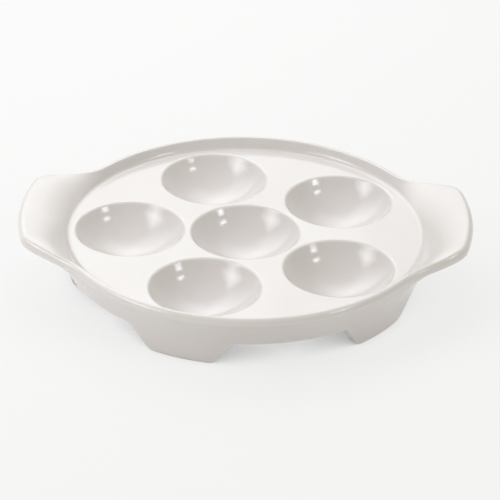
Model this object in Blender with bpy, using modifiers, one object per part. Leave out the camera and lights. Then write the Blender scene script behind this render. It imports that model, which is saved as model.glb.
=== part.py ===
"""An escargot plate in white porcelain: a round dish of six wells with two handles and five feet.

The handles and the feet are taken as clay pieces that are stuck to the dish with slip before it is glazed and
fired, so each is a solid of its own, one slip joint away from its seat. Units are metres and +Z is up. The origin
is on the table under the middle well, and the handles lie along X.
"""

import math

import bmesh
import bpy
from mathutils import Vector

# Wells: one in the middle and a ring round it
RING_WELLS = 5
WELL_DIAMETER = 0.0426
WELL_DEPTH = 0.012
WELL_LIP_RADIUS = 0.0015
WELL_WALL = 0.0038
WELL_WEB = 0.0005
WELL_TABLE_CLEARANCE = 0.0022

# Floor, rim and skirt of the dish
FLOOR_MARGIN = 0.0004
FLOOR_THICKNESS = 0.006
RIM_FILLET_RADIUS = 0.0026
RIM_SLOPE = math.radians(65)
RIM_RISE = 0.0041
RIM_INNER_LIP_RADIUS = 0.0007
RIM_OUTER_LIP_RADIUS = 0.002
SKIRT_LEAN = math.radians(20.5)
SKIRT_DEPTH = 0.002
SKIRT_WALL = 0.003

# Handles
HANDLE_REACH = 0.0136
HANDLE_THICKNESS = 0.0044
HANDLE_ROOT_SLOPE = math.radians(44)
HANDLE_TIP_SLOPE = math.radians(8)
HANDLE_TIP_HALF_ANGLE = math.radians(15)
HANDLE_ROOT_HALF_ANGLE = math.radians(39)
HANDLE_SHOULDER = 1.6
HANDLE_FILLET = 0.004
HANDLE_SEAT_DEPTH = 0.003
HANDLE_SEAT_DROP = 0.0026

# Feet, which follow one another at this pitch to both sides of the one under the left handle
FOOT_COUNT = 5
FOOT_PITCH = math.radians(70.8)
FOOT_TOP_WIDTH = 0.0399
FOOT_BASE_WIDTH = 0.0250
FOOT_CORNER_RADIUS = 0.0045
FOOT_EDGE_RADIUS = 0.0008
FOOT_LEAN = math.radians(13.4)

# Slip joint between stuck pieces
SLIP_GAP = 0.0003

# Fineness of the curved faces: steps round an axis, and facets along each stretch of a section
DISH_STEPS = 100
WELL_STEPS = 32
FILLET_FACETS = 3
WALL_FACETS = 4
INNER_LIP_FACETS = 2
OUTER_LIP_FACETS = 4
UNDER_FACETS = 3
BEND_FACETS = 2
WELL_LIP_FACETS = 2
BOWL_FACETS = 5
CORNER_FACETS = 5
EDGE_FACETS = 2

# How far cutters run on past what they cut, and the share of a lip's first facet by which a well's cutter does so
CUTTER_OVERRUN = 0.01
WELL_LIP_RUN_ON = 0.3

# The most of a wall that a rounding may take up
MOST_OF_WALL = 0.8

# Points nearer than this are one point, and edges sharper than this are drawn as edges
MERGE_DISTANCE = 0.000001
SHARP_ANGLE = math.radians(30)

# Sizes that follow from those above
WELL_RADIUS = WELL_DIAMETER / 2
RING_PITCH = (WELL_DIAMETER + WELL_WEB) / (2 * math.sin(math.pi / RING_WELLS))
RING_RADIUS = max(WELL_DIAMETER + WELL_WEB, RING_PITCH)
BOWL_RADIUS = (WELL_RADIUS**2 + WELL_DEPTH**2) / (2 * WELL_DEPTH) - WELL_LIP_RADIUS
DOME_RADIUS = BOWL_RADIUS + WELL_WALL
FLOOR_Z = WELL_TABLE_CLEARANCE + WELL_WALL + WELL_DEPTH
BOWL_CENTRE_Z = FLOOR_Z - WELL_DEPTH + BOWL_RADIUS
UNDERSIDE_Z = FLOOR_Z - FLOOR_THICKNESS
SKIRT_Z = UNDERSIDE_Z - SKIRT_DEPTH
FLOOR_RADIUS = RING_RADIUS + WELL_RADIUS + FLOOR_MARGIN
RIM_TOP_Z = FLOOR_Z + RIM_RISE
HANDLE_LIP_RADIUS = HANDLE_THICKNESS / 2


def arc(centre, radius, start, end, segments):
    """Points (r, z) along a circular arc, both ends included, with angles measured from the +r direction."""
    turns = [start + (end - start) * i / segments for i in range(segments + 1)]
    return [(centre[0] + radius * math.cos(a), centre[1] + radius * math.sin(a)) for a in turns]


def line(start, end, segments):
    """Points (r, z) along a straight line, both ends included."""
    shares = [i / segments for i in range(segments + 1)]
    return [(start[0] + (end[0] - start[0]) * t, start[1] + (end[1] - start[1]) * t) for t in shares]


def bend(start, corner, end, segments):
    """Points (r, z) of a quadratic curve that rounds a corner."""
    a, b, c = Vector(start), Vector(corner), Vector(end)
    shares = [i / segments for i in range(segments + 1)]
    return [tuple(a * (1 - t) ** 2 + b * 2 * t * (1 - t) + c * t**2) for t in shares]


def rounded(corners, radii, segments):
    """A closed outline of (u, v) corners, each turned into an arc of its own radius."""
    points = []
    for i, corner in enumerate(corners):
        here = Vector(corner)
        back = (Vector(corners[i - 1]) - here).normalized()
        ahead = (Vector(corners[(i + 1) % len(corners)]) - here).normalized()
        if radii[i] == 0:
            points.append(tuple(here))
            continue
        half = back.angle(ahead) / 2
        centre = here + (back + ahead).normalized() * radii[i] / math.sin(half)
        first = here + back * radii[i] / math.tan(half) - centre
        sweep = first.angle_signed(here + ahead * radii[i] / math.tan(half) - centre)
        for step in range(segments + 1):
            turn = -sweep * step / segments
            spin = (math.cos(turn), math.sin(turn))
            points.append(
                (
                    centre.x + first.x * spin[0] - first.y * spin[1],
                    centre.y + first.x * spin[1] + first.y * spin[0],
                )
            )
    return points


# The rim's lip, tight on its inner side, and the skirt that falls from it to the land on which the feet are stuck
RIM_FILLET_END = (
    FLOOR_RADIUS + RIM_FILLET_RADIUS * math.sin(RIM_SLOPE),
    FLOOR_Z + RIM_FILLET_RADIUS * (1 - math.cos(RIM_SLOPE)),
)
RIM_WALL_TOP_Z = RIM_TOP_Z - RIM_INNER_LIP_RADIUS * (1 - math.cos(RIM_SLOPE))
RIM_WALL_TOP_R = RIM_FILLET_END[0] + (RIM_WALL_TOP_Z - RIM_FILLET_END[1]) / math.tan(RIM_SLOPE)
RIM_TOP_R = RIM_WALL_TOP_R + RIM_INNER_LIP_RADIUS * math.sin(RIM_SLOPE)
RIM_RADIUS = RIM_TOP_R + RIM_OUTER_LIP_RADIUS
SKIRT_TOP = (
    RIM_TOP_R + RIM_OUTER_LIP_RADIUS * math.cos(SKIRT_LEAN),
    RIM_TOP_Z - RIM_OUTER_LIP_RADIUS * (1 + math.sin(SKIRT_LEAN)),
)
SKIRT_FOOT_R = SKIRT_TOP[0] - (SKIRT_TOP[1] - SKIRT_Z) * math.tan(SKIRT_LEAN)
HANDLE_RADIUS = RIM_RADIUS + HANDLE_REACH
SEAT_RADIUS = RIM_RADIUS - HANDLE_SEAT_DEPTH
SEAT_Z = FLOOR_Z - HANDLE_SEAT_DROP


def rim_section():
    """Half section of the plain dish, from the floor's edge over the rim and down the skirt."""
    fillet = arc(
        (FLOOR_RADIUS, FLOOR_Z + RIM_FILLET_RADIUS),
        RIM_FILLET_RADIUS,
        -math.pi / 2,
        RIM_SLOPE - math.pi / 2,
        FILLET_FACETS,
    )
    wall = line(RIM_FILLET_END, (RIM_WALL_TOP_R, RIM_WALL_TOP_Z), WALL_FACETS)
    inner_lip = arc(
        (RIM_TOP_R, RIM_TOP_Z - RIM_INNER_LIP_RADIUS),
        RIM_INNER_LIP_RADIUS,
        math.pi / 2 + RIM_SLOPE,
        math.pi / 2,
        INNER_LIP_FACETS,
    )
    outer_lip = arc(
        (RIM_TOP_R, RIM_TOP_Z - RIM_OUTER_LIP_RADIUS),
        RIM_OUTER_LIP_RADIUS,
        math.pi / 2,
        -SKIRT_LEAN,
        OUTER_LIP_FACETS,
    )
    skirt = line(SKIRT_TOP, (SKIRT_FOOT_R, SKIRT_Z), UNDER_FACETS + BEND_FACETS + 1)
    return fillet + wall[1:] + inner_lip[1:] + outer_lip[1:] + skirt[1:]


def handle_section():
    """Half section through the middle of a handle, with the same number of points as the rim's."""
    slope, tip = HANDLE_ROOT_SLOPE, HANDLE_TIP_SLOPE
    fillet = arc(
        (FLOOR_RADIUS, FLOOR_Z + RIM_FILLET_RADIUS),
        RIM_FILLET_RADIUS,
        -math.pi / 2,
        slope - math.pi / 2,
        FILLET_FACETS,
    )
    root_r, root_z = fillet[-1]
    lip_r = HANDLE_RADIUS - HANDLE_LIP_RADIUS
    crown = (lip_r - HANDLE_LIP_RADIUS * math.sin(tip) - root_r) / (math.sin(slope) - math.sin(tip))
    centre = (root_r + crown * math.sin(slope), root_z - crown * math.cos(slope))
    top = arc(centre, crown, math.pi / 2 + slope, math.pi / 2 + tip, WALL_FACETS)
    lip_z = top[-1][1] - HANDLE_LIP_RADIUS * math.cos(tip)
    lip_facets = INNER_LIP_FACETS + OUTER_LIP_FACETS
    lip = arc((lip_r, lip_z), HANDLE_LIP_RADIUS, math.pi / 2 + tip, tip - math.pi / 2, lip_facets)
    under_radius = crown - HANDLE_THICKNESS
    corner = under_corner(centre, under_radius)
    room = (corner[1] - SKIRT_Z) / math.cos(SKIRT_LEAN)
    reach = min(HANDLE_FILLET, room * MOST_OF_WALL)
    corner_angle = math.atan2(corner[1] - centre[1], corner[0] - centre[0])
    under = arc(centre, under_radius, math.pi / 2 + tip, corner_angle - reach / under_radius, UNDER_FACETS)
    skirt_start = (corner[0] - reach * math.sin(SKIRT_LEAN), corner[1] - reach * math.cos(SKIRT_LEAN))
    under_fillet = bend(under[-1], corner, skirt_start, BEND_FACETS)
    return fillet + top[1:] + lip[1:] + under[1:] + under_fillet[1:] + [(SKIRT_FOOT_R, SKIRT_Z)]


def under_corner(centre, radius):
    """Where the arc of a handle's underside would meet the line of the skirt."""
    along = Vector((math.sin(SKIRT_LEAN), math.cos(SKIRT_LEAN)))
    offset = Vector((SKIRT_FOOT_R, SKIRT_Z)) - Vector(centre)
    half = along.dot(offset)
    reach = math.sqrt(half**2 - offset.length_squared + radius**2) - half
    return (SKIRT_FOOT_R + along.x * reach, SKIRT_Z + along.y * reach)


def handle_share(angle):
    """How much of the handle stands out at an angle from its middle: 1 along its edge, 0 on the plain rim."""
    away = abs((angle + math.pi / 2) % math.pi - math.pi / 2)
    span = HANDLE_ROOT_HALF_ANGLE - HANDLE_TIP_HALF_ANGLE
    rise = min(max((HANDLE_ROOT_HALF_ANGLE - away) / span, 0), 1) ** HANDLE_SHOULDER
    return rise * rise * (3 - 2 * rise)


def clear_scene():
    for obj in list(bpy.data.objects):
        bpy.data.objects.remove(obj, do_unlink=True)


def new_collection(name):
    made = bpy.data.collections.new(name)
    bpy.context.scene.collection.children.link(made)
    return made


def porcelain():
    """Warm white glaze over porcelain."""
    made = bpy.data.materials.new("white_glaze")
    made.use_nodes = True
    shader = made.node_tree.nodes["Principled BSDF"]
    shader.inputs["Base Color"].default_value = (0.80, 0.78, 0.75, 1)
    shader.inputs["Roughness"].default_value = 0.12
    shader.inputs["Metallic"].default_value = 0
    return made


def smooth(mesh):
    mesh.shade_smooth()
    mesh.set_sharp_from_angle(angle=SHARP_ANGLE)


def helper(name, mesh, where):
    """An object that cuts others and isn't a piece of the plate itself."""
    obj = bpy.data.objects.new(name, mesh)
    obj.hide_render = True
    obj.display_type = "WIRE"
    where.objects.link(obj)
    return obj


def evaluated_mesh(obj):
    bpy.context.view_layer.update()
    graph = bpy.context.evaluated_depsgraph_get()
    return bpy.data.meshes.new_from_object(obj.evaluated_get(graph))


def cut(obj, operation, name, other=None, group=None):
    modifier = obj.modifiers.new(name, "BOOLEAN")
    modifier.operation = operation
    modifier.solver = "EXACT"
    if group:
        modifier.operand_type = "COLLECTION"
        modifier.collection = group
    else:
        modifier.object = other


def turned(name, profile, steps, where, closed=False):
    """A solid of revolution about Z, from a profile that runs from top to bottom down its outer side."""
    count = len(profile)
    edges = [(i, i + 1) for i in range(count - 1)] + [(count - 1, 0)] * closed
    mesh = bpy.data.meshes.new(name)
    mesh.from_pydata([(r, 0, z) for r, z in profile], edges, [])
    obj = helper(name, mesh, where)
    screw = obj.modifiers.new("turn", "SCREW")
    screw.axis = "Z"
    screw.steps = screw.render_steps = steps
    screw.use_merge_vertices = True
    screw.merge_threshold = MERGE_DISTANCE
    return obj


def extruded(name, outline, thickness, where):
    """A flat outline made into a solid, with half its thickness on each side of its own XY plane."""
    curve = bpy.data.curves.new(name, "CURVE")
    curve.dimensions = "2D"
    curve.fill_mode = "BOTH"
    curve.extrude = thickness / 2
    spline = curve.splines.new("POLY")
    spline.points.add(len(outline) - 1)
    spline.use_cyclic_u = True
    for point, (u, v) in zip(spline.points, outline):
        point.co = (u, v, 0, 1)
    guide = helper(name + "_outline", curve, where)
    mesh = evaluated_mesh(guide)
    bpy.data.objects.remove(guide)
    form = bmesh.new()
    form.from_mesh(mesh)
    bmesh.ops.remove_doubles(form, verts=form.verts, dist=MERGE_DISTANCE)
    bmesh.ops.recalc_face_normals(form, faces=form.faces)
    form.to_mesh(mesh)
    form.free()
    return helper(name, mesh, where)


def ring_turns():
    """Angles of the ring's wells, starting at the left handle."""
    return [math.pi + 2 * math.pi * i / RING_WELLS for i in range(RING_WELLS)]


def foot_turns():
    """Angles of the feet, starting at the left handle and leaving the widest gap under the right one."""
    steps = [i if i <= FOOT_COUNT // 2 else i - FOOT_COUNT for i in range(FOOT_COUNT)]
    return [math.pi + FOOT_PITCH * step for step in steps]


def well_places():
    """Centres of the wells: the middle one, then the ring."""
    return [(0, 0)] + [(RING_RADIUS * math.cos(a), RING_RADIUS * math.sin(a)) for a in ring_turns()]


def copies_at_wells(first, where):
    """One helper under or in each well, all sharing the first one's mesh, collected in a group of their own."""
    mesh = evaluated_mesh(first)
    bpy.data.objects.remove(first)
    for i, (x, y) in enumerate(well_places()):
        helper(f"{where.name}_{i}", mesh, where).location = (x, y, 0)


def bowl_profile():
    """The hollow of a well, from above the floor over the rounded lip to the bottom of the bowl."""
    lip = (WELL_RADIUS, FLOOR_Z - WELL_LIP_RADIUS)
    lip_end = math.pi - math.atan2(BOWL_CENTRE_Z - lip[1], WELL_RADIUS)
    edge = arc(lip, WELL_LIP_RADIUS, math.pi / 2, lip_end, WELL_LIP_FACETS)
    run_on = Vector(edge[0]) * (1 + WELL_LIP_RUN_ON) - Vector(edge[1]) * WELL_LIP_RUN_ON
    bowl = arc((0, BOWL_CENTRE_Z), BOWL_RADIUS, lip_end - math.pi, -math.pi / 2, BOWL_FACETS)
    above = FLOOR_Z + CUTTER_OVERRUN
    return [(0, above), (WELL_RADIUS / 2, above), tuple(run_on)] + edge[1:] + bowl[1:-1] + [(0, bowl[-1][1])]


def dome_profile():
    """The outside of a well below the floor, closed by a cone that ends inside the floor."""
    edge_z = UNDERSIDE_Z + FLOOR_THICKNESS / 4
    start = math.asin((edge_z - BOWL_CENTRE_Z) / DOME_RADIUS)
    dome = arc((0, BOWL_CENTRE_Z), DOME_RADIUS, start, -math.pi / 2, BOWL_FACETS)
    return [(0, UNDERSIDE_Z + FLOOR_THICKNESS / 2)] + dome[:-1] + [(0, dome[-1][1])]


def dish_form():
    """The dish with both handles drawn out of its rim and no wells yet: a loft of sections round the axis."""
    plain, drawn = rim_section(), handle_section()
    inner = [(SKIRT_FOOT_R - SKIRT_WALL, SKIRT_Z), (SKIRT_FOOT_R - SKIRT_WALL - SKIRT_DEPTH, UNDERSIDE_Z)]
    form = bmesh.new()
    rings = []
    for step in range(DISH_STEPS):
        angle = 2 * math.pi * step / DISH_STEPS
        share = handle_share(angle)
        section = [(p[0] + (q[0] - p[0]) * share, p[1] + (q[1] - p[1]) * share) for p, q in zip(plain, drawn)]
        points = [(r * math.cos(angle), r * math.sin(angle), z) for r, z in section + inner]
        rings.append([form.verts.new(point) for point in points])
    for ring, following in zip(rings, rings[1:] + rings[:1]):
        for i in range(len(ring) - 1):
            form.faces.new((ring[i], ring[i + 1], following[i + 1], following[i]))
    form.faces.new([ring[0] for ring in rings])
    form.faces.new([ring[-1] for ring in rings])
    bmesh.ops.recalc_face_normals(form, faces=form.faces)
    mesh = bpy.data.meshes.new("dish_form")
    form.to_mesh(mesh)
    form.free()
    smooth(mesh)
    return mesh


def handle_seat(name, where, clearance=0.0):
    """The block of space at the right that a handle fills, bounded by its seat in the rim, facet for facet with it."""
    radius = SEAT_RADIUS + clearance
    half = HANDLE_ROOT_HALF_ANGLE - clearance / SEAT_RADIUS
    far = HANDLE_RADIUS + CUTTER_OVERRUN
    step = 2 * math.pi / DISH_STEPS
    last = math.ceil(half / step) - 1
    turns = [-half] + [step * i for i in range(-last, last + 1)] + [half]
    seat = [(radius * math.cos(a), radius * math.sin(a)) for a in turns]
    out = arc((0, 0), far, half, -half, CORNER_FACETS)
    bottom = SEAT_Z + clearance
    top = FLOOR_Z + HANDLE_REACH + CUTTER_OVERRUN
    block = extruded(name, seat + out, top - bottom, where)
    block.location.z = (top + bottom) / 2
    return block


def handle_mesh(dish, where):
    """One handle, on the right: the part of the dish's form that lies beyond its seat."""
    form = helper("handle_form", dish, where)
    cut(form, "INTERSECT", "seat", other=handle_seat("handle_space", where, SLIP_GAP))
    mesh = evaluated_mesh(form)
    smooth(mesh)
    bpy.data.objects.remove(form)
    return mesh


def foot_mesh(where):
    """One foot, on the right: a length of turned band cut to a taper."""
    top = SKIRT_Z - SLIP_GAP
    lean = math.tan(FOOT_LEAN)
    outer_top = SKIRT_FOOT_R - SLIP_GAP * lean
    outer_base = SKIRT_FOOT_R - SKIRT_Z * lean
    corners = [
        (outer_top, top),
        (outer_base, 0),
        (outer_base - SKIRT_WALL, 0),
        (outer_top - SKIRT_WALL, top),
    ]
    edge = min(FOOT_EDGE_RADIUS, SKIRT_WALL / 2 * MOST_OF_WALL)
    section = rounded(corners, [0, edge, edge, 0], EDGE_FACETS)
    band = turned("foot_band", section, DISH_STEPS, where, closed=True)

    flare = (FOOT_TOP_WIDTH - FOOT_BASE_WIDTH) / 2 / SKIRT_Z
    wide = FOOT_TOP_WIDTH / 2 + flare * CUTTER_OVERRUN
    base = FOOT_BASE_WIDTH / 2
    taper = [(-wide, SKIRT_Z + CUTTER_OVERRUN), (-base, 0), (base, 0), (wide, SKIRT_Z + CUTTER_OVERRUN)]
    outline = rounded(taper, [0, FOOT_CORNER_RADIUS, FOOT_CORNER_RADIUS, 0], CORNER_FACETS)
    wedge = extruded("foot_taper", outline, SKIRT_FOOT_R, where)
    wedge.rotation_euler = (math.pi / 2, 0, math.pi / 2)
    wedge.location.x = SKIRT_FOOT_R
    cut(band, "INTERSECT", "taper", other=wedge)
    mesh = evaluated_mesh(band)
    bpy.data.objects.remove(band)
    smooth(mesh)
    return mesh


def piece(name, mesh, glaze, parent, where, turn=0.0):
    """A piece of the plate, turned about the axis to its place."""
    obj = bpy.data.objects.new(name, mesh)
    obj.rotation_euler.z = turn
    obj.parent = parent
    mesh.materials.clear()
    mesh.materials.append(glaze)
    where.objects.link(obj)
    return obj


def main():
    clear_scene()
    parts = new_collection("escargot_plate")
    cutters = new_collection("cutters")
    bowls = new_collection("bowls")
    domes = new_collection("domes")
    seats = new_collection("seats")
    glaze = porcelain()
    plate = bpy.data.objects.new("plate", None)
    parts.objects.link(plate)

    copies_at_wells(turned("bowl", bowl_profile(), WELL_STEPS, cutters), bowls)
    copies_at_wells(turned("dome", dome_profile(), WELL_STEPS, cutters), domes)
    dish = dish_form()
    for side, turn in (("right", 0), ("left", math.pi)):
        handle_seat("seat_" + side, seats).rotation_euler.z = turn

    handle = handle_mesh(dish, cutters)
    body = piece("plate_body", dish, glaze, plate, parts)
    cut(body, "UNION", "domes", group=domes)
    cut(body, "DIFFERENCE", "wells", group=bowls)
    cut(body, "DIFFERENCE", "handle_seats", group=seats)
    piece("handle_right", handle, glaze, plate, parts)
    piece("handle_left", handle, glaze, plate, parts, math.pi)

    foot = foot_mesh(cutters)
    for i, turn in enumerate(foot_turns()):
        piece(f"foot_{i + 1}", foot, glaze, plate, parts, turn)


if __name__ == "__main__":
    main()
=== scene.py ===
"""Looks of the escargot plate: a glazed skin in place of its solids, and a small studio round it.

The whole skin is drawn at once, so that the light runs over the joints without a break. It is then parted at
the slip joints into a dish, two handles and five feet, each closed on its joint side. Units are metres.
"""

import math
from collections import namedtuple

import bmesh
import bpy
import numpy as np
from bpy.props import FloatProperty, FloatVectorProperty, PointerProperty
from mathutils import Matrix, Quaternion, Vector
from mathutils.geometry import delaunay_2d_cdt


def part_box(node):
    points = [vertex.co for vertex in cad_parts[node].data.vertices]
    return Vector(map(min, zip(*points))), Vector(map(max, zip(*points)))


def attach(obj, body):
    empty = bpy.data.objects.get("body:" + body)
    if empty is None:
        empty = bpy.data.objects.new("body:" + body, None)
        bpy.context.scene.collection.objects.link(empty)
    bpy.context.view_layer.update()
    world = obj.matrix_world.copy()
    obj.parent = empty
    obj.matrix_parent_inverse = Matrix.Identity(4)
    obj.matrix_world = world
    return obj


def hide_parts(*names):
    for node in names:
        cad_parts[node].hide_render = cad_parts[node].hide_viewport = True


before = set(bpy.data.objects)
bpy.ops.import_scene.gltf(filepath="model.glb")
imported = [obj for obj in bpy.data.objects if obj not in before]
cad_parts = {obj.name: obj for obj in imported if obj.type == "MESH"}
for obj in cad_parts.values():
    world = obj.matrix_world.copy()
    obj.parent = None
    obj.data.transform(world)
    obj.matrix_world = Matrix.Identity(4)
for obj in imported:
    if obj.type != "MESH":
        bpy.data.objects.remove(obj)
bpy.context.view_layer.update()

bl_info = {
    "name": "Escargot plate",
    "version": (1, 0, 0),
    "blender": (4, 5, 0),
    "location": "View3D > Sidebar > Escargot plate",
    "description": "Builds a glazed escargot plate and a studio to show it in",
    "category": "Add Mesh",
}

BODY = "root"

# Nodes of the solids that the pieces replace. The handles come with their turn about the axis.
DISH = "plate_body"
HANDLES = {"handle_right": 0.0, "handle_left": math.pi}
FEET = sorted(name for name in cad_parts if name.startswith("foot_"))

# Steps of the pitch from the left handle to each foot, in order round the axis
FOOT_STEPS = (0, 1, 2, -2, -1)
RING_WELLS = 5

# Facets along each stretch of a section: first as it is drawn, then as it is kept in the mesh
FILLET_FACETS, WALL_FACETS, INNER_LIP_FACETS, OUTER_LIP_FACETS = 24, 48, 40, 80
UNDER_FACETS, BEND_FACETS, SKIRT_FACETS = 72, 36, 24
INNER_ROWS, HANDLE_ROWS, SKIRT_ROWS = 12, 46, 8
FOOT_ROWS, EDGE_ROWS, BASE_ROWS, INSIDE_ROWS, VALLEY_ROWS, UNDER_ROWS = 12, 5, 3, 8, 2, 44

# Columns from the middle of a foot to the middle of the notch beside it
BASE_COLUMNS, CORNER_COLUMNS, SIDE_COLUMNS, NOTCH_FILLET_COLUMNS, NOTCH_COLUMNS = 7, 7, 10, 5, 12
WELL_COLUMNS, WELL_LIP_ROWS, BOWL_ROWS = 80, 7, 16

# Heights tried for the valley inside the feet, and squares along a side of the studio's floor
VALLEY_SAMPLES = 240
FLOOR_SQUARES = 8

# Share of a dome's radius beyond which its height stays the same, so that its root stays real
DOME_LIMIT = 0.999

# Range that most of a noise lies in, and how many finer layers each noise has
NOISE_LOW, NOISE_HIGH = 0.3, 0.7
CLOUD_DETAIL, WAVE_DETAIL, PEEL_DETAIL = 2, 1, 3

# Width of the camera's sensor, in millimetres
SENSOR_WIDTH = 36

# Lamps by their direction and distance from the plate. Azimuth 0 is in front of it and 90 at its right.
# Width and height are angles as well, and all angles are in degrees.
Lamp = namedtuple("Lamp", "azimuth elevation distance width height roll brightness layers")
LAMPS = {
    "back_softbox": Lamp(196.5, 45, 0.45, 84, 55, 0, 2.62, 6),
    "left_softbox": Lamp(-68, 41, 0.5, 37, 27, -15, 5.0, 3),
    "right_lamp_upper": Lamp(71, 47.5, 1.0, 14, 7, -20, 8.8, 2),
    "right_lamp_lower": Lamp(61, 34.5, 1.0, 13, 6.5, -18, 10, 2),
}

# How much further off each layer of a lamp hangs than the one before, as a share of its distance
LAYER_GAP = 0.01

# Points nearer than this count as one
SAME_POINT = 1e-9
UP = np.array([0.0, 0.0, 1.0])


def length(name, description, default):
    return FloatProperty(
        name=name, description=description, default=default, min=0, unit="LENGTH", precision=5
    )


def angle(name, description, degrees):
    return FloatProperty(name=name, description=description, default=math.radians(degrees), subtype="ANGLE")


def share(name, description, default):
    return FloatProperty(name=name, description=description, default=default, min=0, subtype="FACTOR")


def bending(name, description, default):
    return FloatProperty(name=name, description=description + ", in 1/m", default=default, min=0)


def colour(name, description, default):
    return FloatVectorProperty(
        name=name, description=description, default=default, min=0, max=1, subtype="COLOR"
    )


class PlateSizes(bpy.types.PropertyGroup):
    """Sizes of the plate. All but valley, notch_fillet and crease are those of its solids."""

    well_diameter: length("Well diameter", "Across a well, at the floor", 0.0426)
    well_depth: length("Well depth", "From the floor to the bottom of a well", 0.012)
    well_lip: length("Well lip", "Radius of the rounded edge of a well", 0.0015)
    well_wall: length("Well wall", "Thickness of the clay under a well", 0.0038)
    well_web: length("Web", "Narrowest strip of floor between two wells", 0.0005)
    clearance: length("Clearance", "From the table to the wells' undersides", 0.0022)
    valley: length("Valley", "Softness of the hollow between the wells' undersides", 0.0016)

    floor_margin: length("Floor margin", "Strip of floor between the wells and the rim", 0.0004)
    floor_thickness: length("Floor thickness", "Thickness of the floor between the wells", 0.006)
    rim_fillet: length("Rim fillet", "Radius between the floor and the rim", 0.0026)
    rim_slope: angle("Rim slope", "Slope of the rim's inner face", 65)
    rim_rise: length("Rim rise", "Height of the rim above the floor", 0.0041)
    rim_inner_lip: length("Rim inner lip", "Radius of the rim's top on its inner side", 0.0007)
    rim_outer_lip: length("Rim outer lip", "Radius of the rim's top on its outer side", 0.002)
    skirt_lean: angle("Skirt lean", "Lean of the outer face between rim and feet", 20.5)
    skirt_depth: length("Skirt depth", "How far the skirt goes below the underside of the floor", 0.002)
    skirt_wall: length("Skirt wall", "Thickness of the skirt and of the feet", 0.003)

    handle_end: length("Handle end", "From the axis to the end of a handle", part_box("handle_right")[1].x)
    handle_thickness: length("Handle thickness", "Thickness of a handle", 0.0044)
    handle_root_slope: angle("Handle root slope", "Slope of a handle where it leaves the floor", 44)
    handle_tip_slope: angle("Handle tip slope", "Slope of a handle at its end", 8)
    handle_tip_half: angle("Handle end half angle", "Half the angle that a handle's end takes up", 15)
    handle_root_half: angle("Handle root half angle", "Half the angle that a handle takes up at the rim", 39)
    handle_shoulder: share("Handle shoulder", "How late a handle swells out of the rim", 1.6)
    handle_fillet: length("Handle fillet", "Rounding between a handle and the skirt below it", 0.004)
    seat_depth: length("Seat depth", "How far a handle is let into the rim", 0.003)
    seat_drop: length("Seat drop", "How far a handle's seat lies below the floor", 0.0026)
    slip_gap: length("Slip gap", "Thickness of the slip in a joint", 0.0003)

    foot_pitch: angle("Foot pitch", "Turn from one foot to the next, both ways from the left handle", 70.8)
    foot_top_width: length("Foot top width", "Width of a foot where it leaves the skirt", 0.0399)
    foot_base_width: length("Foot base width", "Width of a foot at the table", 0.0250)
    foot_corner: length("Foot corner", "Radius of a foot's lower corners", 0.0045)
    foot_lean: angle("Foot lean", "Lean of a foot's outer face", 13.4)
    notch_fillet: length("Notch fillet", "Radius in the corners of the notches between the feet", 0.0025)
    edge: length("Edge", "Rounding of the edges of feet and notches", 0.0008)
    crease: length("Crease", "Softness of the change of lean between skirt and feet", 0.0006)


class GlazeFinish(bpy.types.PropertyGroup):
    """Colours and finish of the glaze and of the bare clay."""

    white: colour("Glaze", "Glaze of even thickness", (0.80, 0.763, 0.775))
    pooled: colour("Pooled glaze", "Glaze that gathered in a hollow", (0.775, 0.73, 0.725))
    thin: colour("Thin glaze", "Glaze that drew back from an edge", (0.83, 0.798, 0.80))
    clay: colour("Clay", "Bare clay where the feet are wiped before firing", (0.62, 0.57, 0.51))
    roughness: share("Roughness", "Roughness of the glaze", 0.09)
    smoothest: share("Smoothest", "Roughness in the smoothest clouds, as a share of the glaze's", 0.85)
    roughest: share("Roughest", "Roughness in the roughest clouds, as a share of the glaze's", 1.2)
    ior: FloatProperty(name="Refraction", description="Refractive index of the glaze", default=1.58, min=1)
    clay_roughness: share("Clay roughness", "Roughness of the bare clay", 0.75)
    wiped: length("Wiped height", "Height up to which a foot is wiped", 0.0006)
    ragged: share("Ragged", "How far the wiped height goes up and down, as a share of it", 0.25)
    wiped_fade: share("Wiped fade", "Share of the wiped height over which the glaze sets in", 0.2)
    wave: length("Wave", "Height of the slow waves in the glaze", 0.00002)
    wave_size: length("Wave size", "Width of the slow waves", 0.012)
    peel: length("Peel", "Height of the fine unevenness of the glaze", 0.000002)
    peel_size: length("Peel size", "Width of the fine unevenness", 0.0014)
    cloud_size: length("Cloud size", "Width of the faint clouds of colour", 0.02)
    cloud_tint: share("Cloud tint", "How far the clouds go towards the pooled colour", 0.5)
    thin_from: bending("Thins from", "Bend at which the glaze starts to thin or gather", 60)
    thin_to: bending("Thins to", "Bend at which it has thinned or gathered fully", 320)


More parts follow.
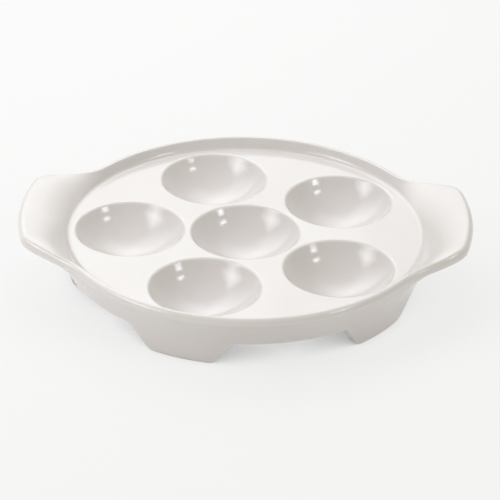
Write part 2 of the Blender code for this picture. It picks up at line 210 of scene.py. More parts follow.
class StudioSettings(bpy.types.PropertyGroup):
    """Camera, floor and lamps."""

    distance: length("Distance", "From the camera to the point it looks at", 0.90316)
    elevation: angle("Elevation", "Height of the camera above the horizon", 29.8522)
    azimuth: angle("Azimuth", "Turn of the camera round the plate", 1.15316)
    roll: angle("Roll", "Tilt of the camera about its own axis", 0.921)
    target: FloatVectorProperty(
        name="Target",
        description="Point that the camera looks at",
        default=(0.0020755, -0.0139557, 0.018),
        subtype="TRANSLATION",
        unit="LENGTH",
        precision=5,
    )
    lens: FloatProperty(
        name="Lens",
        description=f"Focal length on a {SENSOR_WIDTH} mm sensor",
        default=176.7,
        min=1,
        unit="CAMERA",
    )
    floor: colour("Floor", "Colour of the floor", (0.93, 0.93, 0.93))
    floor_size: length("Floor size", "Side of the floor", 8)
    floor_roughness: share("Floor roughness", "Roughness of the floor", 0.9)
    floor_shine: share("Floor shine", "Strength of the floor's reflections", 0.1)
    floor_lift: share("Floor lift", "How much of the background's white the floor shows", 0.81)
    # Painted shadow on the floor: the next three settings dim the floor's own white near the plate, where
    # little sky is open
    painted_shadow_reach: length("Contact", "How far from the plate it darkens the floor", 0.018)
    painted_shadow_open_sky: share("Contact sky", "Share of open sky from which the floor keeps all its white", 0.5)
    painted_shadow_white: share("Contact white", "How much of the white is left where no sky is open", 0.42)
    background: colour("Background", "White of the background", (0.931, 0.931, 0.931))
    lamp_level: share("Lamp level", "Brightness of all lamps together", 1.065)
    lamp_colour: colour("Lamps", "Colour of the lamps", (0.915, 0.965, 1.0))
    room_light: share("Room light", "Brightness of the room all round", 0.467)
    room_colour: colour("Room", "Colour of the room", (1.0, 0.953, 0.822))


def arc(centre, radius, start, end, facets):
    """Points (r, z) along a circular arc, both ends included."""
    turn = np.linspace(start, end, facets + 1)
    return np.stack([centre[0] + radius * np.cos(turn), centre[1] + radius * np.sin(turn)], axis=1)


def line(start, end, facets):
    """Points along a straight line, both ends included."""
    part = np.linspace(0, 1, facets + 1)[:, None]
    return np.asarray(start) * (1 - part) + np.asarray(end) * part


def bend(start, corner, end, facets):
    """Rows of points that round a corner, both ends included."""
    part = np.linspace(0, 1, facets + 1).reshape(-1, *[1] * np.ndim(start))
    start, corner, end = (np.asarray(p)[None] for p in (start, corner, end))
    return start * (1 - part) ** 2 + corner * 2 * part * (1 - part) + end * part**2


def rows_between(start, end, facets):
    """Rows of points from one row to another, both included."""
    return [start + (end - start) * i / facets for i in range(facets + 1)]


def ring(radius, turn, z):
    """Points on circles about the axis."""
    x, y, z = np.broadcast_arrays(radius * np.cos(turn), radius * np.sin(turn), z)
    return np.stack([x, y, z], axis=-1).astype(float)


class PlateForm:
    """Shapes that follow from the plate's sizes: sections of rim and handle, and the outline of the feet."""

    def __init__(self, sizes):
        self.s = s = sizes
        self.foot_turns = [HANDLES["handle_left"] + s.foot_pitch * step for step in FOOT_STEPS]
        well_turns = [HANDLES["handle_left"] + 2 * math.pi * i / RING_WELLS for i in range(RING_WELLS)]
        self.well_radius = s.well_diameter / 2
        across = s.well_diameter + s.well_web
        self.well_ring = max(across, across / (2 * math.sin(math.pi / RING_WELLS)))
        self.bowl_radius = (self.well_radius**2 + s.well_depth**2) / (2 * s.well_depth) - s.well_lip
        self.dome_radius = self.bowl_radius + s.well_wall
        self.floor_z = s.clearance + s.well_wall + s.well_depth
        self.bowl_z = self.floor_z - s.well_depth + self.bowl_radius
        self.under_z = self.floor_z - s.floor_thickness
        self.land_z = self.under_z - s.skirt_depth
        self.floor_radius = self.well_ring + self.well_radius + s.floor_margin
        self.wells = [(0.0, 0.0)] + [
            (self.well_ring * math.cos(turn), self.well_ring * math.sin(turn)) for turn in well_turns
        ]

        self.top_z = self.floor_z + s.rim_rise
        fillet_end = self.fillet(s.rim_slope)[-1]
        self.wall_top_z = self.top_z - s.rim_inner_lip * (1 - math.cos(s.rim_slope))
        self.wall_top = fillet_end[0] + (self.wall_top_z - fillet_end[1]) / math.tan(s.rim_slope)
        self.top_r = self.wall_top + s.rim_inner_lip * math.sin(s.rim_slope)
        self.rim_radius = self.top_r + s.rim_outer_lip
        self.skirt_top = (
            self.top_r + s.rim_outer_lip * math.cos(s.skirt_lean),
            self.top_z - s.rim_outer_lip * (1 + math.sin(s.skirt_lean)),
        )
        self.land_radius = self.skirt_top[0] - (self.skirt_top[1] - self.land_z) * math.tan(s.skirt_lean)
        self.hem_radius = self.land_radius - s.skirt_wall - s.skirt_depth
        self.seat_radius = self.rim_radius - s.seat_depth
        self.seat_z = self.floor_z - s.seat_drop

    def fillet(self, slope):
        """The hollow between the floor and a face of this slope."""
        centre = (self.floor_radius, self.floor_z + self.s.rim_fillet)
        return arc(centre, self.s.rim_fillet, -math.pi / 2, slope - math.pi / 2, FILLET_FACETS)

    def rim_section(self):
        """From the floor's edge over the plain rim and down the skirt to the land of the feet."""
        s = self.s
        fillet = self.fillet(s.rim_slope)
        wall = line(fillet[-1], (self.wall_top, self.wall_top_z), WALL_FACETS)
        centre = (self.top_r, self.top_z - s.rim_inner_lip)
        inner_lip = arc(centre, s.rim_inner_lip, math.pi / 2 + s.rim_slope, math.pi / 2, INNER_LIP_FACETS)
        centre = (self.top_r, self.top_z - s.rim_outer_lip)
        outer_lip = arc(centre, s.rim_outer_lip, math.pi / 2, -s.skirt_lean, OUTER_LIP_FACETS)
        skirt_facets = UNDER_FACETS + BEND_FACETS + SKIRT_FACETS
        skirt = line(self.skirt_top, (self.land_radius, self.land_z), skirt_facets)
        return np.concatenate([fillet, wall[1:], inner_lip[1:], outer_lip[1:], skirt[1:]])

    def handle_section(self):
        """The same, through the middle of a handle, with as many points."""
        s, slope, tip = self.s, self.s.handle_root_slope, self.s.handle_tip_slope
        lip_radius = s.handle_thickness / 2
        fillet = self.fillet(slope)
        lip_r = s.handle_end - lip_radius
        crown = (lip_r - lip_radius * math.sin(tip) - fillet[-1][0]) / (math.sin(slope) - math.sin(tip))
        centre = fillet[-1] + crown * np.array([math.sin(slope), -math.cos(slope)])
        top = arc(centre, crown, math.pi / 2 + slope, math.pi / 2 + tip, WALL_FACETS)
        lip_z = top[-1][1] - lip_radius * math.cos(tip)
        lip_facets = INNER_LIP_FACETS + OUTER_LIP_FACETS
        lip = arc((lip_r, lip_z), lip_radius, math.pi / 2 + tip, tip - math.pi / 2, lip_facets)
        under_radius = crown - s.handle_thickness
        corner = self.under_corner(centre, under_radius)
        reach = s.handle_fillet
        corner_turn = math.atan2(corner[1] - centre[1], corner[0] - centre[0])
        under_end = corner_turn - reach / under_radius
        under = arc(centre, under_radius, math.pi / 2 + tip, under_end, UNDER_FACETS)
        along = np.array([math.sin(s.skirt_lean), math.cos(s.skirt_lean)])
        rounding = bend(under[-1], corner, corner - reach * along, BEND_FACETS)
        skirt = line(rounding[-1], (self.land_radius, self.land_z), SKIRT_FACETS)
        return np.concatenate([fillet, top[1:], lip[1:], under[1:], rounding[1:], skirt[1:]])

    def under_corner(self, centre, radius):
        """Where the arc of a handle's underside would meet the line of the skirt."""
        along = np.array([math.sin(self.s.skirt_lean), math.cos(self.s.skirt_lean)])
        land = np.array([self.land_radius, self.land_z])
        offset = land - centre
        half = along @ offset
        return land + along * (math.sqrt(half**2 - offset @ offset + radius**2) - half)

    def handle_share(self, turn):
        """How far a handle stands out of the rim at each angle: 1 along its end, 0 on the plain rim."""
        s = self.s
        away = abs((turn + math.pi / 2) % math.pi - math.pi / 2)
        rise = np.clip((s.handle_root_half - away) / (s.handle_root_half - s.handle_tip_half), 0, 1)
        rise = rise**s.handle_shoulder
        return rise * rise * (3 - 2 * rise)

    def softening(self, z):
        """How far the soft crease at the land stands off from the two straight faces that meet there."""
        step = math.tan(self.s.skirt_lean) - math.tan(self.s.foot_lean)
        above = (z - self.land_z) / self.s.crease
        return step * self.s.crease * (np.logaddexp(0, above) - np.maximum(above, 0))

    def wall_radius(self, z):
        """Outer face of skirt and feet."""
        above = np.maximum(z - self.land_z, 0) * math.tan(self.s.skirt_lean)
        below = np.minimum(z - self.land_z, 0) * math.tan(self.s.foot_lean)
        return self.land_radius + above + below + self.softening(z)

    def inside_radius(self, z):
        """Inner face of the feet."""
        return self.land_radius + (z - self.land_z) * math.tan(self.s.foot_lean) - self.s.skirt_wall

    def under_height(self, x, y):
        """Underside of the floor with the domes of the wells, all run together."""
        soft = self.s.valley
        furthest = DOME_LIMIT * self.dome_radius
        height = np.full(np.shape(x), self.under_z)
        for well_x, well_y in self.wells:
            off = np.minimum((x - well_x) ** 2 + (y - well_y) ** 2, furthest**2)
            dome = self.bowl_z - np.sqrt(self.dome_radius**2 - off)
            # The lower of the two, rounded off where they cross
            mix = np.maximum(soft - abs(height - dome), 0) / soft
            height = np.minimum(height, dome) - mix**2 * soft / 4
        return height

    def half_outline(self, half_gap):
        """Lower edge of foot and skirt, from the middle of a foot to the middle of the notch beside it.

        Each row holds a point (across, z) and the direction (across, z) that the edge faces there.
        """
        s = self.s
        flare = math.atan2((s.foot_top_width - s.foot_base_width) / 2, self.land_z)
        cut_back = math.tan((math.pi / 2 - flare) / 2)
        flat = s.foot_base_width / 2 - s.foot_corner * cut_back
        hollow = (s.foot_top_width / 2 + s.notch_fillet * cut_back, self.land_z - s.notch_fillet)
        base = line((0, 0), (flat, 0), BASE_COLUMNS)
        corner = arc((flat, s.foot_corner), s.foot_corner, -math.pi / 2, -flare, CORNER_COLUMNS)
        fillet = arc(hollow, s.notch_fillet, math.pi - flare, math.pi / 2, NOTCH_FILLET_COLUMNS)
        side = line(corner[-1], fillet[0], SIDE_COLUMNS)
        last = math.asin(hollow[0] / self.land_radius)
        notch = self.land_radius * np.sin(np.linspace(last, half_gap, NOTCH_COLUMNS + 1))
        notch = np.stack([notch, np.full_like(notch, self.land_z)], axis=1)
        stretches = (
            (base, np.tile((0.0, -1.0), (len(base), 1))),
            (corner, (corner - (flat, s.foot_corner)) / s.foot_corner),
            (side, np.tile((math.cos(flare), -math.sin(flare)), (len(side), 1))),
            (fillet, (hollow - fillet) / s.notch_fillet),
            (notch, np.tile((0.0, -1.0), (len(notch), 1))),
        )
        joined = [np.concatenate(stretch, axis=1)[:-1] for stretch in stretches]
        return np.concatenate(joined + [[(*notch[-1], 0.0, -1.0)]])


class WallColumns:
    """Columns of the skin round the axis, set by the lower edge of skirt and feet. Each value is an array."""

    def __init__(self, form):
        s = form.s
        (foot_turn, half_gap, across, low, sideways, downward), self.foot_spans = self.outline(form)

        # Outside: the lower corner, and the column above it, which starts where the corner is rounded
        out_radius = form.wall_radius(low)
        off = np.arcsin(across / out_radius)
        low_turn = foot_turn + off
        self.turn = low_turn - s.edge * sideways / (out_radius * np.cos(off))
        self.edge_z = low - s.edge * downward
        self.joint_z = np.maximum(form.land_z, self.edge_z)
        self.outer_corner = ring(out_radius, low_turn, low)
        self.out = ring(1, low_turn, 0)

        # Inside: as far across as outside on a foot, and at the same turn in the middle of a notch
        in_radius = form.inside_radius(low)
        reach = math.asin((s.foot_top_width / 2) / form.land_radius)
        fade = np.clip((half_gap - abs(off)) / (half_gap - reach), 0, 1)
        in_low_turn = low_turn + (np.arcsin(across / in_radius) - off) * fade
        self.in_turn = in_low_turn - s.edge * sideways / (in_radius * np.cos(off))
        self.inner_corner = ring(in_radius, in_low_turn, low)

    def outline(self, form):
        """The lower edge all the way round, and the first and last column of each foot.

        Each column has its foot's turn, half the gap to the next foot, and a row of the half outline.
        """
        turns = form.foot_turns
        columns, spans = [], []
        for i, turn in enumerate(turns):
            ahead = (turns[(i + 1) % len(turns)] - turn) % (2 * math.pi) / 2
            behind = (turn - turns[i - 1]) % (2 * math.pi) / 2
            start = len(columns)
            mirrored = form.half_outline(behind)[:0:-1] * (-1, 1, -1, 1)
            columns += [(turn, behind, *row) for row in mirrored]
            columns += [(turn, ahead, *row) for row in form.half_outline(ahead)[:-1]]
            spans.append((start + NOTCH_COLUMNS, len(columns) - NOTCH_COLUMNS + 1))
        return np.array(columns).T, spans


class GlazedSkin:
    """The skin of the whole plate, with each face marked by the piece that it belongs to."""

    def __init__(self, form):
        self.form = form
        self.points = []
        self.faces = []
        self.owners = []
        self.caps = {}
        self.draw_round()
        self.draw_floor_and_wells()
        self.normals = self.smooth_normals()
        self.bends = self.curvature()

    def add_points(self, points):
        """Adds points and returns their numbers."""
        first = len(self.points)
        self.points.extend(map(tuple, points))
        return np.arange(first, len(self.points))

    def add_face(self, owner, corners):
        """Adds a face of the skin, leaving out corners that fall together."""
        kept = list(dict.fromkeys(int(c) for c in corners))
        if len(kept) > 2:
            self.faces.append(kept)
            self.owners.append(owner)

    def add_cap(self, owner, corners):
        """Adds a face of one piece that lies in a joint."""
        kept = list(dict.fromkeys(int(c) for c in corners))
        if len(kept) > 2:
            self.caps.setdefault(owner, []).append(kept)

    def draw_round(self):
        """Everything that goes round the axis: rim, handles, skirt, feet and underside."""
        wall = WallColumns(self.form)
        hem = self.hem_line(wall)
        rows = self.rim_rows(wall) + self.outer_rows(wall)
        rows += self.base_rows(wall, rows[-1])
        rows += self.inner_rows(wall, rows[-1], hem)
        joint_row = len(rows) - 1
        rows += self.under_rows(rows[-1], hem)
        numbers = self.number_rows(rows)
        self.floor_edge = numbers[0]

        handle_rows = (INNER_ROWS, INNER_ROWS + HANDLE_ROWS)
        foot_rows = (handle_rows[1] + SKIRT_ROWS, joint_row)
        handle_spans = self.handle_spans(wall.turn)
        owner = np.full((len(rows) - 1, len(wall.turn)), DISH, dtype=object)
        for name, columns in handle_spans.items():
            owner[slice(*handle_rows), columns[:-1]] = name
        for name, (first, last) in zip(FEET, wall.foot_spans):
            owner[slice(*foot_rows), first : last - 1] = name
        self.add_round_faces(numbers, owner)
        for name, columns in handle_spans.items():
            self.close_handle(name, numbers, handle_rows, columns, wall.turn)
        for name, (first, last) in zip(FEET, wall.foot_spans):
            self.close_foot(name, numbers, foot_rows, np.arange(first, last))

    def hem_line(self, wall):
        """The line under the floor at which the valley inside the feet runs out."""
        hem = ring(self.form.hem_radius, wall.in_turn, 0)
        hem[:, 2] = self.form.under_height(hem[:, 0], hem[:, 1])
        return hem

    def rim_rows(self, wall):
        """Rim, handles and skirt, down to the joint with the feet."""
        form, turn = self.form, wall.turn
        plain, drawn = form.rim_section(), form.handle_section()
        sections = plain + (drawn - plain) * form.handle_share(turn)[:, None, None]
        lip_end = FILLET_FACETS + WALL_FACETS + INNER_LIP_FACETS + OUTER_LIP_FACETS
        above = np.arange(lip_end)
        below = np.arange(lip_end, sections.shape[1])
        floor_edge = np.zeros(len(turn))
        seat_top = np.array([np.interp(form.seat_radius, p[:lip_end, 0], above) for p in sections])
        seat_low = np.array([np.interp(-form.seat_z, -p[lip_end:, 1], below) for p in sections])
        joint = np.array([np.interp(-z, -p[lip_end:, 1], below) for p, z in zip(sections, wall.joint_z)])
        rows = self.section_rows(sections, turn, floor_edge, seat_top, INNER_ROWS)
        rows += self.section_rows(sections, turn, seat_top, seat_low, HANDLE_ROWS)[1:]
        rows += self.section_rows(sections, turn, seat_low, joint, SKIRT_ROWS)[1:-1]
        return rows

    def outer_rows(self, wall):
        """Outer face of the feet, from their joint with the skirt to the rounded edge."""
        rows = []
        for part in np.linspace(0, 1, FOOT_ROWS + 1):
            z = wall.joint_z + (wall.edge_z - wall.joint_z) * part
            rows.append(ring(self.form.wall_radius(z), wall.turn, z))
        return rows

    def base_rows(self, wall, last_row):
        """Rounded outer edge of feet and notches, and the face below it."""
        inset = self.form.s.edge * wall.out
        rows = list(bend(last_row, wall.outer_corner, wall.outer_corner - inset, EDGE_ROWS)[1:])
        rows += rows_between(rows[-1], wall.inner_corner + inset, BASE_ROWS)[1:]
        return rows

    def inner_rows(self, wall, last_row, hem):
        """Rounded inner edge of feet and notches, and the inner face up to its valley with the underside."""
        form = self.form
        valley_z = self.valley_heights(wall.in_turn)
        valley = ring(form.inside_radius(valley_z), wall.in_turn, valley_z)
        edge_z = np.minimum(wall.edge_z, valley_z)
        edge = ring(form.inside_radius(edge_z), wall.in_turn, edge_z)

        # A notch has no inner face: where its edge lies above the valley, it runs out to the hem instead
        notch_z = form.land_z + form.s.edge
        raised = np.clip((wall.edge_z - valley_z) / (notch_z - valley_z), 0, 1)[:, None]
        edge = np.where(raised > 0, valley + (hem - valley) * raised, edge)
        valley = np.where(raised > 0, edge, valley)
        rows = list(bend(last_row, wall.inner_corner, edge, EDGE_ROWS)[1:])
        rows += rows_between(edge, valley, INSIDE_ROWS)[1:]
        return rows

    def under_rows(self, valley, hem):
        """From the valley to the hem, and on under floor and wells to the last row round the axis."""
        rows = rows_between(valley, hem, VALLEY_ROWS)[1:]
        for part in np.linspace(1, 0, UNDER_ROWS + 1)[1:-1]:
            x, y = hem[:, 0] * part, hem[:, 1] * part
            rows.append(np.stack([x, y, self.form.under_height(x, y)], axis=1))
        return rows

    def add_round_faces(self, numbers, owner):
        """Adds the faces between all rows, and a fan of faces at the middle of the underside."""
        count = len(numbers[0])
        for row, (here, below) in enumerate(zip(numbers, numbers[1:])):
            for k in range(count):
                after = (k + 1) % count
                self.add_face(owner[row, k], (here[k], below[k], below[after], here[after]))
        middle = self.form.under_height(np.zeros(1), np.zeros(1))[0]
        pole = self.add_points([(0, 0, middle)])[0]
        for k in range(count):
            self.add_face(DISH, (numbers[-1][k], pole, numbers[-1][(k + 1) % count]))

    def section_rows(self, sections, turn, start, end, facets):
        """Rows of points between two places along the sections, given as numbers of their points."""
        rows = []
        which = np.arange(len(turn))
        for part in np.linspace(0, 1, facets + 1):
            place = start + (end - start) * part
            before = np.minimum(place.astype(int), sections.shape[1] - 2)
            rest = (place - before)[:, None]
            r, z = (sections[which, before] * (1 - rest) + sections[which, before + 1] * rest).T
            rows.append(ring(r + self.form.softening(z), turn, z))
        return rows

    def valley_heights(self, turn):
        """Height at which the inner face of the feet meets the underside, at each angle."""
        form = self.form
        heights = np.linspace(0, form.land_z, VALLEY_SAMPLES)
        radius = form.inside_radius(heights)
        found = []
        for t in turn:
            under = form.under_height(radius * math.cos(t), radius * math.sin(t))
            open_below = np.nonzero(heights < under)[0]
            found.append(heights[open_below[-1]])
        return np.array(found)

    def number_rows(self, rows):
        """Numbers of the points of all rows, one number where a column's rows fall together."""
        numbers = [self.add_points(rows[0])]
        for before, row in zip(rows, rows[1:]):
            made = self.add_points(row)
            together = np.linalg.norm(row - before, axis=1) < SAME_POINT
            numbers.append(np.where(together, numbers[-1], made))
        return numbers

    def handle_spans(self, turn):
        """The columns of each handle, in order round the axis."""
        spans = {}
        for name, middle in HANDLES.items():
            away = (turn - middle + math.pi) % (2 * math.pi) - math.pi
            inside = np.nonzero(abs(away) <= self.form.s.handle_root_half)[0]
            spans[name] = inside[np.argsort(away[inside])]
        return spans

    def close_handle(self, name, numbers, rows, columns, turn):
        """Closes a handle on its seat, and the dish on the same seat one slip joint away."""
        form, gap = self.form, self.form.s.slip_gap
        top, low = numbers[rows[0]], numbers[rows[1]]
        for owner, grow in ((DISH, 0), (name, gap)):
            corner = self.add_points(ring(form.seat_radius + grow, turn[columns], form.seat_z + grow))
            for i in range(len(columns) - 1):
                k, after = columns[i], columns[i + 1]
                self.add_cap(owner, (top[k], corner[i], corner[i + 1], top[after]))
                self.add_cap(owner, (corner[i], low[k], low[after], corner[i + 1]))
            for i in (0, -1):
                self.close_end(owner, corner[i], numbers, rows, columns[i])

    def close_foot(self, name, numbers, rows, columns):
        """Closes a foot on its joint with the skirt, and the dish there."""
        out, inside = numbers[rows[0]], numbers[rows[1]]
        for owner in (DISH, name):
            for k, after in zip(columns, columns[1:]):
                self.add_cap(owner, (out[k], inside[k], inside[after], out[after]))
            for k in (columns[0], columns[-1]):
                self.close_end(owner, out[k], numbers, rows, k)

    def close_end(self, owner, corner, numbers, rows, column):
        """Closes the end of a joint with a fan of faces from one corner to a column of the skin."""
        for row in range(*rows):
            self.add_cap(owner, (corner, numbers[row][column], numbers[row + 1][column]))

    def draw_floor_and_wells(self):
        """The flat floor between rim and wells, and the rounded wells."""
        form, s = self.form, self.form.s
        centre = (form.well_radius, form.floor_z - s.well_lip)
        lip_end = math.pi - math.atan2(form.bowl_z - centre[1], form.well_radius)
        lip = arc(centre, s.well_lip, math.pi / 2, lip_end, WELL_LIP_ROWS)
        bowl = arc((0, form.bowl_z), form.bowl_radius, lip_end - math.pi, -math.pi / 2, BOWL_ROWS)
        profile = np.concatenate([lip, bowl[1:-1]])
        turn = np.linspace(0, 2 * math.pi, WELL_COLUMNS, endpoint=False)
        loops = [self.floor_edge]
        for x, y in form.wells:
            numbers = [self.add_points(ring(r, turn, z) + (x, y, 0)) for r, z in profile]
            bottom = self.add_points([(x, y, bowl[-1][1])])[0]
            loops.append(numbers[0])
            for k in range(WELL_COLUMNS):
                after = (k + 1) % WELL_COLUMNS
                for here, inside in zip(numbers, numbers[1:]):
                    self.add_face(DISH, (here[k], here[after], inside[after], inside[k]))
                self.add_face(DISH, (numbers[-1][k], numbers[-1][after], bottom))

        border = np.concatenate(loops)
        flat = [Vector(self.points[n][:2]) for n in border]
        edges, first = [], 0
        for loop in loops:
            edges += [(first + i, first + (i + 1) % len(loop)) for i in range(len(loop))]
            first += len(loop)
        _, _, triangles, sources, _, _ = delaunay_2d_cdt(flat, edges, [], 0, SAME_POINT)
        inside_well = form.well_radius * math.cos(math.pi / WELL_COLUMNS) - SAME_POINT
        for triangle in triangles:
            corners = [sources[corner][0] for corner in triangle]
            middle = sum((flat[c] for c in corners), Vector((0, 0))) / 3
            if all((middle - Vector(well)).length > inside_well for well in form.wells):
                self.add_face(DISH, [border[c] for c in corners])

    def smooth_normals(self):
        """Normals of the whole skin at its points. The floor's are upright up to its edges."""
        mesh = bpy.data.meshes.new("skin")
        mesh.from_pydata(self.points, [], self.faces)
        normals = np.empty(len(self.points) * 3)
        mesh.vertex_normals.foreach_get("vector", normals)
        bpy.data.meshes.remove(mesh)
        normals = normals.reshape(-1, 3)
        level = abs(np.array(self.points)[:, 2] - self.form.floor_z) < SAME_POINT
        normals[level] = UP
        return normals

    def curvature(self):
        """How sharply the skin bends at each point, in 1/m: above 0 over an edge, below 0 in a hollow."""
        points = np.array(self.points)
        pairs = {tuple(sorted((a, b))) for face in self.faces for a, b in zip(face, face[1:] + face[:1])}
        a, b = np.array(sorted(pairs)).T
        step = points[b] - points[a]
        bent = ((self.normals[b] - self.normals[a]) * step).sum(1) / (step * step).sum(1)
        total, count = np.zeros(len(points)), np.zeros(len(points))
        for end in (a, b):
            np.add.at(total, end, bent)
            np.add.at(count, end, 1)
        return total / np.maximum(count, 1)

    def piece(self, owner, name, material):
        """A closed mesh of the skin's faces of one piece and its faces in the joints."""
        skin = [face for face, face_owner in zip(self.faces, self.owners) if face_owner == owner]
        caps = self.caps.get(owner, [])
        used = sorted({n for face in skin + caps for n in face})
        at = {n: i for i, n in enumerate(used)}
        shell = bmesh.new()
        verts = [shell.verts.new(self.points[n]) for n in used]
        made = [shell.faces.new([verts[at[n]] for n in face]) for face in skin + caps]
        bmesh.ops.recalc_face_normals(shell, faces=made)
        if shell.calc_volume(signed=True) < 0:
            bmesh.ops.reverse_faces(shell, faces=made)
        mesh = bpy.data.meshes.new(name)
        shell.to_mesh(mesh)
        shell.free()
        mesh.shade_smooth()
        normals = [
            self.normals[used[mesh.loops[i].vertex_index]] if face.index < len(skin) else face.normal
            for face in mesh.polygons
            for i in face.loop_indices
        ]
        mesh.normals_split_custom_set(normals)
        bends = mesh.attributes.new("bend", "FLOAT", "POINT")
        bends.data.foreach_set("value", self.bends[used].astype(np.float32))
        mesh.materials.append(material)
        obj = bpy.data.objects.new(name, mesh)
        bpy.context.scene.collection.objects.link(obj)
        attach(obj, BODY)
        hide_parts(owner)


class Nodes:
    """Adds nodes to a tree and links them, a socket or a plain value for each input."""

    def __init__(self, tree):
        self.tree = tree

    def add(self, kind, inputs=(), **settings):
        """A node with its inputs, by their name or number, and its other settings."""
        node = self.tree.nodes.new(kind)
        for name, value in settings.items():
            setattr(node, name, value)
        for name, value in dict(inputs).items():
            self.set(node.inputs[name], value)
        return node

    def set(self, socket, value):
        """Links an input to a socket, or gives it a plain value."""
        if isinstance(value, bpy.types.NodeSocket):
            self.tree.links.new(value, socket)
        else:
            socket.default_value = value

    def mix(self, factor, first, second):
        """A colour between two."""
        node = self.add("ShaderNodeMix", data_type="RGBA")
        colours = [socket for socket in node.inputs if socket.type == "RGBA"]
        self.set(node.inputs["Factor"], factor)
        self.set(colours[0], first)
        self.set(colours[1], second)
        return next(socket for socket in node.outputs if socket.type == "RGBA")

    def calculate(self, operation, first, second):
        """The sum, product or other result of two numbers."""
        return self.add("ShaderNodeMath", {0: first, 1: second}, operation=operation).outputs["Value"]

    def ramp(self, value, start, end, low=0.0, high=1.0):
        """A number that goes smoothly from low to high while the value goes from start to end."""
        inputs = {"Value": value, "From Min": start, "From Max": end, "To Min": low, "To Max": high}
        return self.add("ShaderNodeMapRange", inputs, interpolation_type="SMOOTHSTEP").outputs["Result"]

    def noise(self, place, size, detail):
        """Noise with patches of about this size, in metres."""
        inputs = {"Vector": place, "Scale": 1 / size, "Detail": detail}
        return self.add("ShaderNodeTexNoise", inputs).outputs["Fac"]


def opaque(value):
    """A colour with nothing showing through."""
    return (*value, 1.0)


def glaze_material(finish):
    """Warm white glaze that gathers in hollows, thins over edges and is wiped off the standing faces."""
    name = "white_glaze"
    made = bpy.data.materials.get(name)
    if made:
        return made
    made = bpy.data.materials.new(name)
    made.use_nodes = True
    nodes = Nodes(made.node_tree)
    shader = made.node_tree.nodes["Principled BSDF"]
    place = nodes.add("ShaderNodeTexCoord").outputs["Object"]
    bent = nodes.add("ShaderNodeAttribute", attribute_name="bend").outputs["Fac"]
    cloud = nodes.noise(place, finish.cloud_size, CLOUD_DETAIL)
    slow = nodes.noise(place, finish.wave_size, WAVE_DETAIL)
    fine = nodes.noise(place, finish.peel_size, PEEL_DETAIL)

    clouded = nodes.ramp(cloud, NOISE_LOW, NOISE_HIGH, 0.0, finish.cloud_tint)
    gathered = nodes.ramp(bent, -finish.thin_from, -finish.thin_to)
    drawn_back = nodes.ramp(bent, finish.thin_from, finish.thin_to)
    tint = nodes.mix(clouded, opaque(finish.white), opaque(finish.pooled))
    tint = nodes.mix(gathered, tint, opaque(finish.pooled))
    tint = nodes.mix(drawn_back, tint, opaque(finish.thin))

    height = nodes.add("ShaderNodeSeparateXYZ", {"Vector": place}).outputs["Z"]
    wander = finish.wiped * finish.ragged
    ragged = nodes.calculate("ADD", height, nodes.ramp(slow, NOISE_LOW, NOISE_HIGH, -wander, wander))
    bare = nodes.ramp(ragged, finish.wiped, finish.wiped * (1 - finish.wiped_fade))
    nodes.set(shader.inputs["Base Color"], nodes.mix(bare, tint, opaque(finish.clay)))

    smoothest, roughest = finish.roughness * finish.smoothest, finish.roughness * finish.roughest
    glossy = nodes.ramp(cloud, NOISE_LOW, NOISE_HIGH, smoothest, roughest)
    inputs = {"Factor": bare, "A": glossy, "B": finish.clay_roughness}
    roughness = nodes.add("ShaderNodeMix", inputs, data_type="FLOAT")
    nodes.set(shader.inputs["Roughness"], roughness.outputs["Result"])

    waves = nodes.add("ShaderNodeBump", {"Height": slow, "Distance": finish.wave}).outputs["Normal"]
    peel = nodes.add("ShaderNodeBump", {"Height": fine, "Distance": finish.peel, "Normal": waves})
    nodes.set(shader.inputs["Normal"], peel.outputs["Normal"])
    shader.inputs["IOR"].default_value = finish.ior
    return made


def facing(azimuth, elevation):
    """Direction from the plate to a lamp or camera. Azimuth 0 is in front, a quarter turn at the right."""
    level = math.cos(elevation)
    return Vector((math.sin(azimuth) * level, -math.cos(azimuth) * level, math.sin(elevation)))


def hang_lamp(name, lamp, level, tint):
    """A lamp that looks at the plate, in layers of growing size, so that it is brightest in its middle."""
    towards = facing(math.radians(lamp.azimuth), math.radians(lamp.elevation))
    for layer in range(lamp.layers):
        part = (layer + 1) / lamp.layers
        distance = lamp.distance * (1 + LAYER_GAP * layer)
        width, height = (
            2 * distance * math.tan(math.radians(spread * part / 2)) for spread in (lamp.width, lamp.height)
        )
        light = bpy.data.lights.new(f"{name}_{layer}", "AREA")
        light.shape = "RECTANGLE"
        light.size, light.size_y = width, height
        light.color = tint
        light.energy = level * lamp.brightness / lamp.layers * math.pi * width * height
        obj = bpy.data.objects.new(light.name, light)
        obj.location = towards * distance
        aim = towards.to_track_quat("Z", "Y") @ Quaternion((0, 0, 1), math.radians(lamp.roll))
        obj.rotation_euler = aim.to_euler()
        bpy.context.scene.collection.objects.link(obj)


def sees_background(nodes):
    """1 for rays that show the background: from the camera, and off or through a shiny surface."""
    path = nodes.add("ShaderNodeLightPath").outputs
    shiny = nodes.calculate("MAXIMUM", path["Is Glossy Ray"], path["Is Transmission Ray"])
    return nodes.calculate("MAXIMUM", path["Is Camera Ray"], shiny)


def add_pieces(context, names):
    """Adds pieces of the glazed skin, given by the solid that each replaces and its own name."""
    skin = GlazedSkin(PlateForm(context.scene.plate_sizes))
    glaze = glaze_material(context.scene.plate_glaze)
    for node, name in names.items():
        skin.piece(node, name, glaze)


class PLATE_OT_dish(bpy.types.Operator):
    """Make the dish with its floor, wells, rim and skirt"""

    bl_idname = "plate.dish"
    bl_label = "Dish"

    def execute(self, context):
        add_pieces(context, {DISH: "glazed_dish"})
        return {"FINISHED"}


class PLATE_OT_handles(bpy.types.Operator):
    """Make the two handles that are let into the rim"""

    bl_idname = "plate.handles"
    bl_label = "Handles"

    def execute(self, context):
        add_pieces(context, {node: "glazed_" + node for node in sorted(HANDLES)})
        return {"FINISHED"}


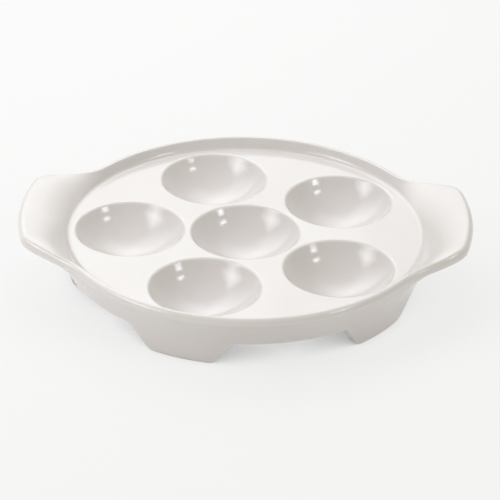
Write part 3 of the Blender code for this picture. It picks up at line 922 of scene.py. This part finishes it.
class PLATE_OT_feet(bpy.types.Operator):
    """Make the feet under the skirt"""

    bl_idname = "plate.feet"
    bl_label = "Feet"

    def execute(self, context):
        add_pieces(context, {node: "glazed_" + node for node in FEET})
        return {"FINISHED"}


class PLATE_OT_stage(bpy.types.Operator):
    """Set up the floor, the lamps and the camera"""

    bl_idname = "plate.stage"
    bl_label = "Stage"

    def execute(self, context):
        studio = context.scene.plate_studio
        self.lay_floor(context, studio)
        self.hang_lamps(context, studio)
        self.place_camera(context, studio)
        context.scene.view_settings.view_transform = "Standard"
        return {"FINISHED"}

    def lay_floor(self, context, studio):
        """A wide sheet of floor for the plate to stand on."""
        sheet = bmesh.new()
        half = studio.floor_size / 2
        bmesh.ops.create_grid(sheet, x_segments=FLOOR_SQUARES, y_segments=FLOOR_SQUARES, size=half)
        mesh = bpy.data.meshes.new("studio_floor")
        sheet.to_mesh(mesh)
        sheet.free()
        floor = bpy.data.objects.new("studio_floor", mesh)
        context.scene.collection.objects.link(floor)
        mesh.materials.append(self.floor_material(studio))

    def floor_material(self, studio):
        """Pale paper, lit partly by the lamps and partly by a white of its own, with a painted shadow that
        dims that white near the plate.
        """
        made = bpy.data.materials.new("pale_floor")
        made.use_nodes = True
        nodes = Nodes(made.node_tree)
        shader = made.node_tree.nodes["Principled BSDF"]
        shader.inputs["Base Color"].default_value = opaque(studio.floor)
        shader.inputs["Roughness"].default_value = studio.floor_roughness
        shader.inputs["Specular IOR Level"].default_value = studio.floor_shine
        # Painted shadow: ambient occlusion dims the floor's own white where the plate hides the sky
        sky = nodes.add("ShaderNodeAmbientOcclusion", {"Distance": studio.painted_shadow_reach}).outputs["AO"]
        glow_with_painted_shadow = nodes.ramp(sky, 0.0, studio.painted_shadow_open_sky, studio.painted_shadow_white, 1.0)
        paper = nodes.add("ShaderNodeEmission", {"Color": opaque(studio.background), "Strength": glow_with_painted_shadow})
        lift = nodes.calculate("MULTIPLY", sees_background(nodes), studio.floor_lift)
        inputs = {0: lift, 1: shader.outputs["BSDF"], 2: paper.outputs["Emission"]}
        blend = nodes.add("ShaderNodeMixShader", inputs)
        nodes.set(made.node_tree.nodes["Material Output"].inputs["Surface"], blend.outputs["Shader"])
        return made

    def hang_lamps(self, context, studio):
        """The lamps, and the even light of the room round them."""
        for name, lamp in LAMPS.items():
            hang_lamp(name, lamp, studio.lamp_level, studio.lamp_colour)
        world = bpy.data.worlds.new("studio_room")
        context.scene.world = world
        world.use_nodes = True
        room = world.node_tree.nodes["Background"]
        room.inputs["Color"].default_value = opaque(studio.room_colour)
        room.inputs["Strength"].default_value = studio.room_light

    def place_camera(self, context, studio):
        """The camera, at the place that the photograph was taken from."""
        data = bpy.data.cameras.new("photo_camera")
        data.lens = studio.lens
        data.sensor_width = SENSOR_WIDTH
        camera = bpy.data.objects.new("photo_camera", data)
        towards = facing(studio.azimuth, studio.elevation)
        level = towards.to_track_quat("Z", "Y").to_matrix().to_4x4()
        turn = Matrix.Rotation(studio.roll, 4, "Z")
        place = Vector(studio.target) + towards * studio.distance
        camera.matrix_world = Matrix.Translation(place) @ level @ turn
        context.scene.collection.objects.link(camera)
        context.scene.camera = camera


class PLATE_PT_sidebar(bpy.types.Panel):
    """Sizes, finish and studio of the plate, and the steps that make it"""

    bl_idname = "PLATE_PT_sidebar"
    bl_label = "Escargot plate"
    bl_space_type = "VIEW_3D"
    bl_region_type = "UI"
    bl_category = "Escargot plate"

    def draw(self, context):
        for operator in STEPS:
            self.layout.operator(operator.bl_idname)
        for title, group in (
            ("Sizes", context.scene.plate_sizes),
            ("Glaze", context.scene.plate_glaze),
            ("Studio", context.scene.plate_studio),
        ):
            box = self.layout.box()
            box.label(text=title)
            for name in group.__annotations__:
                box.prop(group, name)


GROUPS = {"plate_sizes": PlateSizes, "plate_glaze": GlazeFinish, "plate_studio": StudioSettings}
STEPS = (PLATE_OT_dish, PLATE_OT_handles, PLATE_OT_feet, PLATE_OT_stage)


def register():
    for cls in (*GROUPS.values(), *STEPS, PLATE_PT_sidebar):
        bpy.utils.register_class(cls)
    for name, group in GROUPS.items():
        setattr(bpy.types.Scene, name, PointerProperty(type=group))


def unregister():
    for name in GROUPS:
        delattr(bpy.types.Scene, name)
    for cls in reversed((*GROUPS.values(), *STEPS, PLATE_PT_sidebar)):
        bpy.utils.unregister_class(cls)


def main():
    register()
    bpy.ops.plate.dish()
    bpy.ops.plate.handles()
    bpy.ops.plate.feet()
    bpy.ops.plate.stage()


if __name__ == "__main__":
    main()
